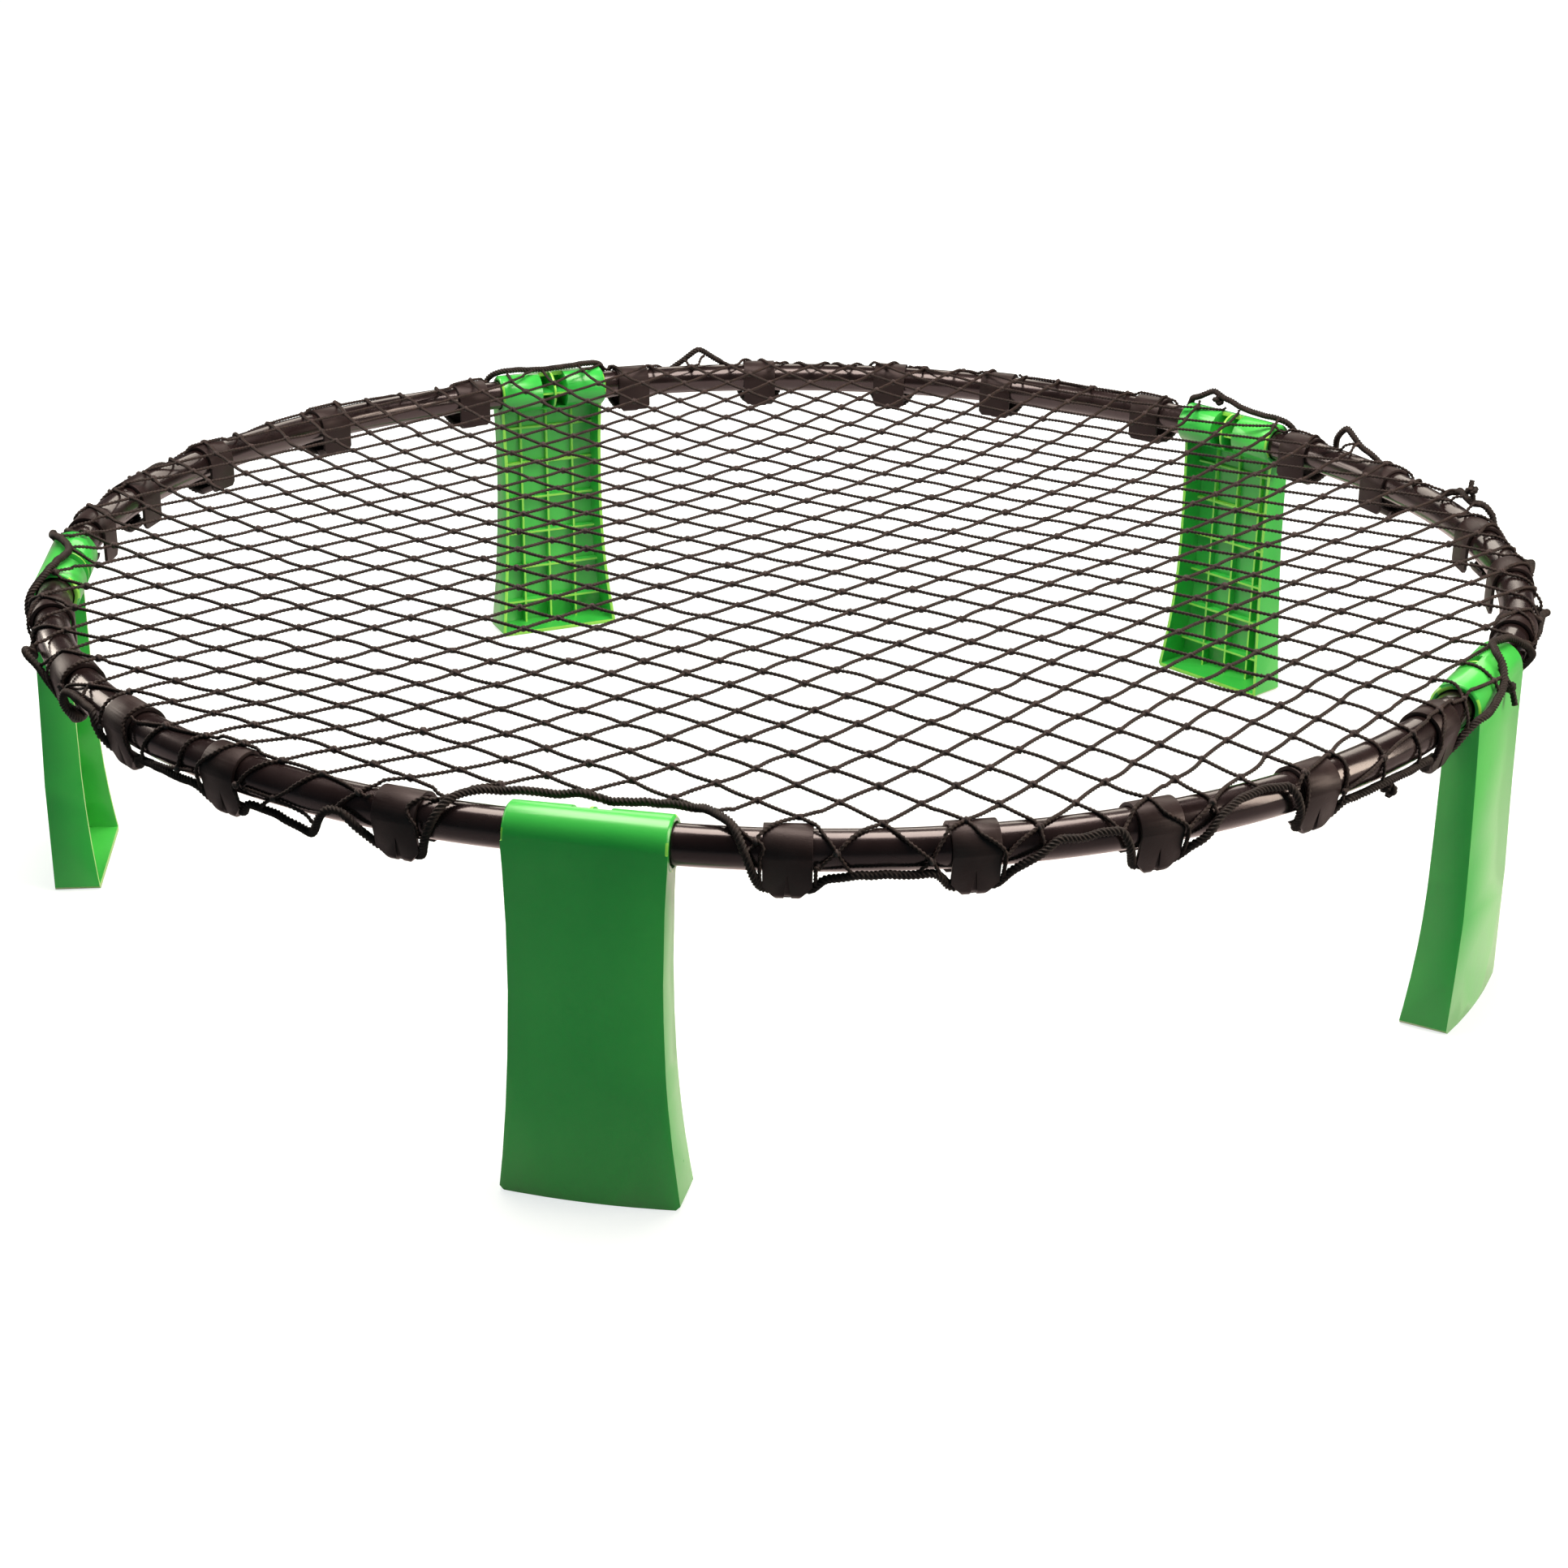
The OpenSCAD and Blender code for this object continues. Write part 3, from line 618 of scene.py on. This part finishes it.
# Between two hooks, by leg and gap: drawn up against the tube, slack, or in a loop
between_hooks = {
    (1, 1): [(120, -40, 13.4), (140, -36, 13.3), (165, -40, 13.4)],
    (1, 2): [(208, -20, 13.3), (222, 20, 13.3), (256, 24, 13.3)],
    (1, 3): [(302, -20, 13.4), (310, 20, 13.3), (322, 44, 13.3), (340, 50, 13.3), (354, 44, 13.3)],
    (1, 4): [(398, -42, 13.4), (430, -36, 13.3), (470, -38, 13.4)],
    (2, 1): [(118, -20, 13.4), (140, -5, 14), (166, -25, 21), (176, -35, 15)],
    (2, 2): [(212, 0, 14), (228, 6, 19), (245, -10, 14), (258, -40, 14)],
    (2, 3): [(292, 35, 14.5), (300, 58, 19), (318, 55, 15), (334, 62, 18), (356, 30, 15),
             (385, -20, 13.5)],
    (2, 4): [(426, 0, 13.4), (438, 45, 13.6), (452, 62, 16.5), (468, 72, 26), (476, 62, 18),
             (482, 40, 13.8)],
    (3, 1): [(95, -30, 13.4), (120, -10, 13.3), (160, 20, 13.3), (185, -20, 13.3)],
    (3, 2): [(225, -30, 13.4), (250, -36, 13.3), (275, -36, 13.4)],
    (3, 3): [(315, -20, 13.3), (340, 30, 13.3), (375, -10, 13.3)],
    (3, 4): [(415, -10, 13.4), (430, 55, 15), (444, 70, 23), (456, 50, 15), (478, -30, 13.4)],
    (4, 1): [(90, -10, 13.4), (125, 25, 13.3), (160, -25, 13.4)],
    (4, 2): [(210, -30, 13.4), (250, -38, 13.3), (290, -30, 13.4)],
    (4, 3): [(330, 0, 13.4), (355, 30, 13.3), (380, -20, 13.4)],
    (4, 4): [(420, -34, 13.4), (440, -30, 13.3), (460, -36, 13.4)],
    (5, 1): [(102, -35, 13.4), (130, -20, 13.6), (141, 0, 13.6), (146, 14, 17), (150, 22, 21),
             (153, 14, 19.5), (158, 2, 14.5), (162, -12, 13.4), (171, -44, 13.3)],
    (5, 2): [(206, -30, 14.5), (214, 15, 14.5), (235, 22, 13.4), (252, 16, 13.3)],
    (5, 3): [(292, -48, 13.5), (315, -42, 13.4), (340, -45, 13.5)],
    (5, 4): [(388, -62, 13.6), (396, -66, 14), (404, -70, 16.5), (412, -71, 18.2), (419, -68, 19),
             (424, -50, 16), (428, -18, 13.6), (433, 5, 13.4), (441, 8, 13.3)],
}


def rope_stations():
    """All stations in order round the ring, with the distance counted from the middle of leg 1."""
    stations = []
    for leg in range(1, LEGS + 1):
        start = (leg - 1) * run_mm
        stations += [((start + past) % ring_mm, turn, radius) for past, turn, radius in over_leg[leg]]
        for number, place in enumerate(clip_places[leg], 1):
            middle = start + place / mm
            for side in (-1, 1):
                stations.append((middle + side * hook_hold, hook_turn, hook_radius))
                rising = middle + side * (hook_hold + rope_leaves)
                stations.append((rising, rising_turn, rising_radius))
            for along, turn, radius in between_hooks.get((leg, number), []):
                stations.append((start + along, turn, radius))
    return sorted(stations)


def mix(first, second, share):
    return first + (second - first) * share


def ease(share):
    share = max(0.0, min(1.0, share))
    return share * share * (3 - 2 * share)


def fill_between(stations, count):
    """Turn and radius at evenly spaced places, straight from station to station."""
    filled = []
    before = (stations[-1][0] - ring_mm, *stations[-1][1:])
    behind = (stations[0][0] + ring_mm, *stations[0][1:])
    loop = [before, *stations, behind]
    n = 0
    for k in range(count):
        place = ring_mm * k / count
        while loop[n + 1][0] < place:
            n += 1
        here, after = loop[n], loop[n + 1]
        share = (place - here[0]) / (after[0] - here[0])
        filled.append(Vector((mix(here[1], after[1], share), mix(here[2], after[2], share))))
    return filled


def smooth_round(values, rounds):
    count = len(values)
    for _ in range(rounds):
        values = [
            (values[n - 1] + values[n] * 2 + values[(n + 1) % count]) / 4 for n in range(count)
        ]
    return values


rope_count = 1414
rope_line = smooth_round(fill_between(rope_stations(), rope_count), 2)


def rope_at(leg, along):
    """Turn, in radians, and distance from the tube's axis of the rope at a place on the ring."""
    place = ((leg - 1) * run_mm + along / mm) / ring_mm * rope_count
    here = rope_line[int(place) % rope_count]
    after = rope_line[(int(place) + 1) % rope_count]
    turn, radius = here.lerp(after, place % 1)
    return math.radians(turn), radius * mm


print("rope stations:", len(rope_stations()), "points:", rope_count)

# %% Lay the edge rope
kink_step = 0.21
kink_out = 0.6 * mm
kink_turn = 0.09
bulge_counted = 1.06  # part of the strands' bulge counts towards the diameter


def rope_path():
    """The rope's line, with small kinks."""
    path = []
    for n in range(rope_count):
        leg, along = divmod(ring_mm * n / rope_count, run_mm)
        turn, radius = rope_at(int(leg) + 1, along * mm)
        kink = Vector((n * kink_step, 0.3, 0.9))
        radius += kink_out * (1 + noise.noise(kink))
        turn += kink_turn * noise.noise(kink + Vector((0, 4, 7)))
        path.append(round_tube(int(leg) + 1, along * mm, turn, radius))
    return path


rope_route = rope_path()
rope = run_tree(
    edge_object("rope_round_the_ring", [rope_route], closed=True),
    lay_cord,
    {"Radius": rope_diameter / 2 / bulge_counted, "Strands": 4, "Groove": 0.16, "Lay": 9 * mm,
     "Spacing": 0.9 * mm, "Sides": 20, "Material": rope_finish},
)
rope_length = sum((b - a).length for a, b in zip(rope_route, rope_route[1:] + rope_route[:1]))
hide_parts("edge_rope")
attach(rope, "ring")
print("edge rope:", round(rope_length, 3), "m, triangles:", triangle_count(rope))

# %% [markdown]
# ## Loose ends of the rope
# Where a rope was tied off it ends in a stopper knot. A trefoil is the simplest curve that is a real
# knot: a few sines and cosines draw it, and a swept cord of the right thickness closes it to a lump.
# The short stem that carries it starts on the rope and is swept by the same tree.

# %% Stopper knots at the rope's ends
# Leg, mm along from its middle, then the tip: degrees round the tube and mm from its axis
rope_ends = [(2, 316, 74, 29), (1, 432, -66, 21), (2, 4, -24, 23), (3, 15, 84, 18.5)]
trefoil_size = 1.05 * mm
trefoil_points = 40
tip_ahead = 3
stem_steps = 10
stem_bend = 0.9 * mm
knot_on_stem = 0.58


def rope_end(leg, along, turn, reach):
    """A stem from the rope to the tip, and the closed line of the knot on it."""
    start = round_tube(leg, along * mm, *rope_at(leg, along * mm))
    tip = round_tube(leg, (along + tip_ahead) * mm, math.radians(turn), reach * mm)
    ahead = (tip - start).normalized()
    aside = ahead.orthogonal().normalized()
    across = ahead.cross(aside)
    stem = [
        start.lerp(tip, n / stem_steps) + aside * stem_bend * math.sin(n * 0.7)
        for n in range(stem_steps + 1)
    ]
    middle = start.lerp(tip, knot_on_stem)
    knot = []
    for n in range(trefoil_points):
        t = 2 * math.pi * n / trefoil_points
        knot.append(
            middle
            + aside * trefoil_size * (math.sin(t) + 2 * math.sin(2 * t))
            + across * trefoil_size * (math.cos(t) - 2 * math.cos(2 * t))
            - ahead * trefoil_size * math.sin(3 * t)
        )
    return stem, knot


thin_rope = {"Radius": 1.7 * mm, "Strands": 4, "Groove": 0.12, "Lay": 9 * mm,
             "Spacing": 0.8 * mm, "Sides": 14, "Material": rope_finish}
for number, place in enumerate(rope_ends, 1):
    stem, knot = rope_end(*place)
    for name, path, closed in (("rope_end", stem, False), ("rope_knot", knot, True)):
        line = edge_object(f"{name}_{number}", [path], closed=closed)
        piece = run_tree(line, lay_cord, thin_rope)
        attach(piece, "ring")
print("rope ends:", len(rope_ends), "triangles in a knot:", triangle_count(piece))

# %% [markdown]
# ## The net's mesh
# A knotted net is a grid that is pulled out of shape by the way it is hooked on. Here each knot has two
# whole numbers, counted along the two families of cords. Two steps give the undisturbed grid, and ten
# bending terms say how the hooks pulled it out of square. The net's middle, the two steps and the terms
# weren't worked out here or set by eye: another program fitted them by least squares to measured knots,
# and its output, in millimetres, is copied in.

# %% Where each knot lies
net_middle = Vector((-3, 18))
step_along = Vector((25.6, -11.1))
step_across = Vector((14.5, 24.2))
pulls = {
    (2, 0): (5, 19), (0, 2): (-16, 10), (3, 0): (-10, -11), (2, 1): (2, 15), (1, 2): (21, -19),
    (0, 3): (-17, -2), (2, 2): (13, 7), (2, 3): (11, 8), (1, 4): (-5, 8), (0, 5): (3, 0),
}
meshes_per_unit = 10
knot_wander = 0.7


def knot_place(i, j):
    """The knot's place over the ring, with a little wander of its own."""
    a = i / meshes_per_unit
    b = j / meshes_per_unit
    place = net_middle + step_along * i + step_across * j
    for (along, across), pull in pulls.items():
        place = place + Vector(pull) * (a**along * b**across)
    seed = Vector((i * 0.73, j * 0.61, 3.7))
    wander = Vector((noise.noise(seed), noise.noise(seed + Vector((9, 5, 2)))))
    place = place + wander * 2 * knot_wander
    return place * mm


print("a mesh is", round(step_along.length, 1), "by", round(step_across.length, 1), "mm")

# %% [markdown]
# ## Draping the net over the ring
# Inside the ring the net is a plane. Past the top of the tube it wraps: the same distance that a flat
# net would reach outwards now goes round the tube. Over a clip the cords rise onto it, and further
# down they part to either side of the hook. The cord ends where it meets the edge rope.

# %% From the flat net to its place on the ring
cord_radius = 0.97 * mm
sleeve_half = 41.5 * mm
net_rise = 12.8 * mm
clip_radius = 12.8 * mm
sleeve_radius = 14.5 * mm
clip_ramp = 4 * mm
sleeve_ramp = 5 * mm
settle_length = 26 * mm
wrap_radius = tube_radius + cord_radius
hook_side = clip_width / 2 + cord_radius
gather_reach = 34 * mm
gather_share = 0.55
parting_speed = 2.4
mesh_bow = 3.2 * mm
tied_radius = 17.5 * mm
wrap_angle = math.radians(125)
parting_share = 0.3
steepest = 0.55
look_ahead = 0.5 * mm
lengthwise_slant = 1.5
near_rope_turn = math.radians(45)
points_per_mesh = 18
fewest_points = 6


def nearest_clip(leg, along):
    return min(clip_places[leg], key=lambda place: abs(place - along))


def support_radius(leg, along):
    """How far from the tube's axis a cord lies: on the tube, or on a clip."""
    beside = abs(along - nearest_clip(leg, along)) - hook_side
    over_clip = 1 - ease(beside / clip_ramp)
    on_sleeve = 1 - ease((min(along, run_length - along) - sleeve_half) / sleeve_ramp)
    radius = mix(wrap_radius, clip_radius + cord_radius, over_clip)
    return mix(radius, sleeve_radius + cord_radius, on_sleeve)


def beside_hook(leg, along, share, parted_at):
    """A cord on a clip moves aside as it comes down, and one further off is gathered towards the hook.

    It keeps to the side it was on where cords part. None once it would be past the hook's other side.
    """
    clip = nearest_clip(leg, along)
    offset = along - clip
    side = 1 if parted_at >= clip else -1
    if side * offset < -hook_side:
        return None
    if side * offset < hook_side:
        return clip + mix(offset, side * hook_side, ease((share - parting_share) * parting_speed))
    gather = gather_share * ease(share) * max(0.0, 1 - (abs(offset) - hook_side) / gather_reach)
    return along - side * gather * (abs(offset) - hook_side)


def back_to_parting(flat, heading, out_at_parting):
    """How far along the tube a cord with this heading was when it came to the parting line."""
    leg, along, out = ring_local(flat)
    step = look_ahead if heading.dot(flat) > 0 else -look_ahead
    next_leg, next_along, next_out = ring_local(flat + heading * step)
    if next_leg != leg:
        return along
    slant = (next_along - along) / max(next_out - out, steepest * abs(step))
    return along - slant * max(0.0, out - out_at_parting)


def net_point(flat, heading=None):
    """The 3-D place of a point of the flat net, or None where the net has ended at the rope."""
    leg, along, out = ring_local(flat)
    rope_turn, rope_distance = rope_at(leg, along)
    if rope_turn > math.pi / 2:
        rope_out = rope_distance * math.cos(rope_turn)
        rope_up = rope_distance * math.sin(rope_turn)
        if out > rope_out:
            return None
        share = ease(1 + (out - rope_out) / settle_length)
        return Vector((flat.x, flat.y, rim_height + mix(net_rise, rope_up, share)))
    support = support_radius(leg, along)
    if out <= 0:
        share = ease(1 + out / settle_length)
        return Vector((flat.x, flat.y, rim_height + mix(net_rise, support, share)))
    turn = math.pi / 2 - out / support
    share = out / support / wrap_angle
    parting = parting_share * wrap_angle * support
    parted_at = back_to_parting(flat, heading, parting) if heading else along
    placed = beside_hook(leg, along, share, parted_at)
    lengthwise = abs(parted_at - along) > lengthwise_slant * max(out - parting, look_ahead)
    under_clip = lengthwise and abs(along - nearest_clip(leg, along)) < clip_width / 2
    if placed is None or under_clip:
        return None
    rope_turn, rope_distance = rope_at(leg, placed)
    if turn < rope_turn:
        return None
    rope_distance = min(rope_distance, tied_radius)
    near_rope = ease(1 - (turn - rope_turn) / near_rope_turn)
    radius = mix(support_radius(leg, placed), rope_distance, near_rope)
    return round_tube(leg, placed, turn, radius)


def cord_runs(knots):
    """Splits one cord's knots into its stretches on the net, with points between the knots."""
    runs = []
    run = []
    for here, after in zip(knots, knots[1:]):
        heading = (after - here).normalized()
        bow = mesh_bow * noise.noise((here.x * 90, here.y * 90, after.x * 35))
        across = Vector((here.y - after.y, after.x - here.x)).normalized()
        for n in range(points_per_mesh):
            share = n / points_per_mesh
            flat = here.lerp(after, share) + across * bow * math.sin(math.pi * share)
            point = net_point(flat, heading)
            if point is None:
                if len(run) > fewest_points:
                    runs.append(run)
                run = []
            else:
                run.append(point)
    return runs


GRID = range(-26, 27)
along_cords = [run for j in GRID for run in cord_runs([knot_place(i, j) for i in GRID])]
across_cords = [run for i in GRID for run in cord_runs([knot_place(i, j) for j in GRID])]
print("cords along:", len(along_cords), "across:", len(across_cords))

# %% Twist the net's cords
cords_in_a_piece = 6
net_cord = {"Radius": cord_radius, "Strands": 2, "Groove": 0.27, "Lay": 5.0 * mm,
            "Spacing": 0.55 * mm, "Sides": 6, "Material": net_cord_finish}


def lay_net_cords(name, runs, nodes):
    total = 0
    for first in range(0, len(runs), cords_in_a_piece):
        number = first // cords_in_a_piece + 1
        paths = runs[first:first + cords_in_a_piece]
        piece = run_tree(edge_object(f"{name}_{number}", paths), lay_cord, net_cord)
        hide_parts(*nodes)
        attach(piece, "ring")
        total += triangle_count(piece)
    print(name, "triangles:", total)


lay_net_cords("net_along", along_cords, ["net_cords_lower", "net_edge_lower"])
lay_net_cords("net_across", across_cords, ["net_cords_upper", "net_edge_upper"])

# %% [markdown]
# ## Knots
# Each crossing is tied, apart from those on a clip where the cords have parted. A tied knot in cord this
# thin reads as a small lump of two interlocked turns, so two thick rings set across each other do, and a
# tree puts such a pair on every tied crossing, with its own turn and size from a fixed seed. With this
# many copies each one has to be light: 70 faces.

# %% A tree that ties a knot on every point
def knot_tree():
    tree, start, end = new_tree(
        "tie_knots", [("Size", "Float"), ("Seed", "Int"), ("Material", "Material")]
    )
    given = start.outputs
    half = calculate(tree, "MULTIPLY", given["Size"], 0.5)
    turn_radius = calculate(tree, "MULTIPLY", half, 0.52)
    strand_radius = calculate(tree, "MULTIPLY", half, 0.48)
    ring = add_node(tree, "GeometryNodeCurvePrimitiveCircle", Resolution=7, Radius=turn_radius)
    strand = add_node(tree, "GeometryNodeCurvePrimitiveCircle", Resolution=5, Radius=strand_radius)
    turn = add_node(
        tree, "GeometryNodeCurveToMesh",
        Curve=ring.outputs["Curve"], Profile_Curve=strand.outputs["Curve"],
    ).outputs["Mesh"]
    upright = add_node(tree, "GeometryNodeTransform", Geometry=turn, Rotation=(math.pi / 2, 0, 0.5))
    slanted = add_node(tree, "GeometryNodeTransform", Geometry=turn, Rotation=(1.1, 0.5, 1.9))
    lump = add_node(tree, "GeometryNodeJoinGeometry")
    for part in (upright, slanted):
        tree.links.new(part.outputs["Geometry"], lump.inputs["Geometry"])
    spin = add_node(tree, "FunctionNodeRandomValue", data_type="FLOAT_VECTOR", Seed=given["Seed"])
    spin.inputs[0].default_value = (-0.35, -0.35, -0.6)
    spin.inputs[1].default_value = (0.35, 0.35, 0.6)
    grow = add_node(tree, "FunctionNodeRandomValue", data_type="FLOAT", Seed=given["Seed"])
    grow.inputs[2].default_value = 0.88
    grow.inputs[3].default_value = 1.14
    spread = add_node(
        tree, "GeometryNodeInstanceOnPoints",
        Points=given["Geometry"], Instance=lump.outputs["Geometry"],
        Rotation=spin.outputs[0], Scale=grow.outputs[1],
    )
    finish_tree(tree, end, spread.outputs["Instances"], given["Material"])
    return tree


tie_knots = knot_tree()
knot_size = 4.5 * mm


def is_parted(flat):
    """True below the parting line on a clip, where the cords of a crossing have gone separate ways."""
    leg, along, out = ring_local(flat)
    on_clip = abs(along - nearest_clip(leg, along)) < hook_side
    return on_clip and out > parting_share * wrap_angle * support_radius(leg, along)


grid_places = [knot_place(i, j) for i in GRID for j in GRID]
tied = [place for place in grid_places if not is_parted(place)]
crossings = [point for point in map(net_point, tied) if point is not None]
knots = run_tree(
    edge_object("net_knots", [[point] for point in crossings]),
    tie_knots, {"Size": knot_size, "Seed": 4, "Material": knot_painted_highlight_finish},
)
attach(knots, "ring")
print("knots:", len(crossings), "triangles:", triangle_count(knots))

# %% [markdown]
# ## Floor, backdrop and light
# The set stands in a white studio. The floor and the world show white to the camera, a cool tint to the
# rays that carry light on to the object, and a dim warm one to the rays that it mirrors, so that black
# paint stays brownish black. Close round the set the floor glows warm for mirrored rays alone: a painted
# reflection that lays a pale sheen on the legs' outer faces. The light comes from above, from behind and
# from both sides, which leaves the face of the front leg in shade and draws bright lines along the
# tubes.

# %% Floor
floor_half = 6.0
floor_drop = 0.0002  # just below the feet
floor_mesh = bpy.data.meshes.new("floor")
corners = [(x * floor_half, y * floor_half, 0) for x, y in ((-1, -1), (1, -1), (1, 1), (-1, 1))]
floor_mesh.from_pydata(corners, [], [(0, 1, 2, 3)])
floor = bpy.data.objects.new("floor", floor_mesh)
bpy.context.scene.collection.objects.link(floor)
floor.location.z = -floor_drop
floor_white = bpy.data.materials.new("floor_white")
floor_white.use_nodes = True
tree = floor_white.node_tree
tree.nodes.clear()
place = add_node(tree, "ShaderNodeTexCoord").outputs["Object"]
rays = add_node(tree, "ShaderNodeLightPath")


def fading(near, far, start, end, middle=(0, 0, 0)):
    """A strength that goes from near to far between two distances from a middle."""
    away = add_node(tree, "ShaderNodeVectorMath", operation="DISTANCE")
    tree.links.new(place, away.inputs[0])
    away.inputs[1].default_value = middle
    distance = away.outputs["Value"]
    fade = add_node(tree, "ShaderNodeMapRange", Value=distance, To_Min=near, To_Max=far)
    fade.inputs["From Min"].default_value = start
    fade.inputs["From Max"].default_value = end
    return fade.outputs["Result"]


def painted(colour, glow_colour, strength):
    """Plain paint with a glow of its own added."""
    paint = add_node(tree, "ShaderNodeBsdfDiffuse", Color=(*colour, 1))
    glow = add_node(tree, "ShaderNodeEmission", Color=(*glow_colour, 1), Strength=strength)
    lift = add_node(tree, "ShaderNodeAddShader")
    tree.links.new(paint.outputs["BSDF"], lift.inputs[0])
    tree.links.new(glow.outputs["Emission"], lift.inputs[1])
    return lift.outputs["Shader"]


def shown_to(ray_kind, special, usual):
    """One surface for one kind of ray, and the usual surface for every other kind."""
    choice = add_node(tree, "ShaderNodeMixShader", Fac=rays.outputs[ray_kind])
    tree.links.new(usual, choice.inputs[1])
    tree.links.new(special, choice.inputs[2])
    return choice.outputs["Shader"]


bounced = painted((0.11, 0.29, 0.29), (1, 1, 1), 0.0)
# Painted reflection: a warm glow round the set, seen only by mirrored rays, for the legs' pale sheen.
painted_reflection_glow = fading(0.85, 0.025, 0.46, 0.67, (0.07, 0.07, 0))
mirrored = painted((0.25, 0.20, 0.21), (1.0, 0.80, 0.72), painted_reflection_glow)
seen = painted((0.36, 0.36, 0.36), (1, 1, 1), fading(0.72, 1.0, 0.5, 1.3))
out = add_node(tree, "ShaderNodeOutputMaterial")
ground = shown_to("Is Camera Ray", seen, shown_to("Is Glossy Ray", mirrored, bounced))
tree.links.new(ground, out.inputs["Surface"])
floor_mesh.materials.append(floor_white)
print("floor laid")

# %% World
world = bpy.data.worlds.new("studio")
bpy.context.scene.world = world
world.use_nodes = True
tree = world.node_tree
tree.nodes.clear()
rays = add_node(tree, "ShaderNodeLightPath")


def sky(colour, strength):
    back = add_node(tree, "ShaderNodeBackground", Color=(*colour, 1), Strength=strength)
    return back.outputs["Background"]


bounced = sky((0.42, 0.92, 1.0), 0.24)
mirrored = sky((1.0, 0.80, 0.86), 0.045)
seen = sky((1, 1, 1), 1.0)
out = add_node(tree, "ShaderNodeOutputWorld")
around = shown_to("Is Camera Ray", seen, shown_to("Is Glossy Ray", mirrored, bounced))
tree.links.new(around, out.inputs["Surface"])
print("world ready")

# %% Lamps
def soft_box(name, place, aim, size, power, colour):
    lamp = bpy.data.lights.new(name, "AREA")
    lamp.shape = "RECTANGLE"
    lamp.size, lamp.size_y = size
    lamp.energy = power
    lamp.color = colour
    holder = bpy.data.objects.new(name, lamp)
    bpy.context.scene.collection.objects.link(holder)
    turn = (Vector(aim) - Vector(place)).to_track_quat("-Z", "Y").to_matrix().to_4x4()
    holder.matrix_world = Matrix.Translation(place) @ turn
    print(name, "at", place, "W:", power)


WARM_WHITE = (1.0, 0.92, 0.80)
LAMP_YELLOW = (1.0, 0.89, 0.72)
soft_box("overhead", (0.0, -0.02, 1.35), (0, -0.02, 0.15), (1.2, 0.8), 32, WARM_WHITE)
soft_box("right_side", (1.9, -0.1, 0.75), (0, 0, 0.15), (0.9, 1.0), 30, LAMP_YELLOW)
soft_box("left_side", (-1.9, 0.5, 0.8), (0, 0, 0.15), (0.9, 1.0), 18, WARM_WHITE)
soft_box("behind", (0.0, 2.4, 1.5), (0, 0, 0.2), (2.6, 1.0), 22, WARM_WHITE)

# %% Set a plain view transform
view = bpy.context.scene.view_settings
view.view_transform = "Standard"
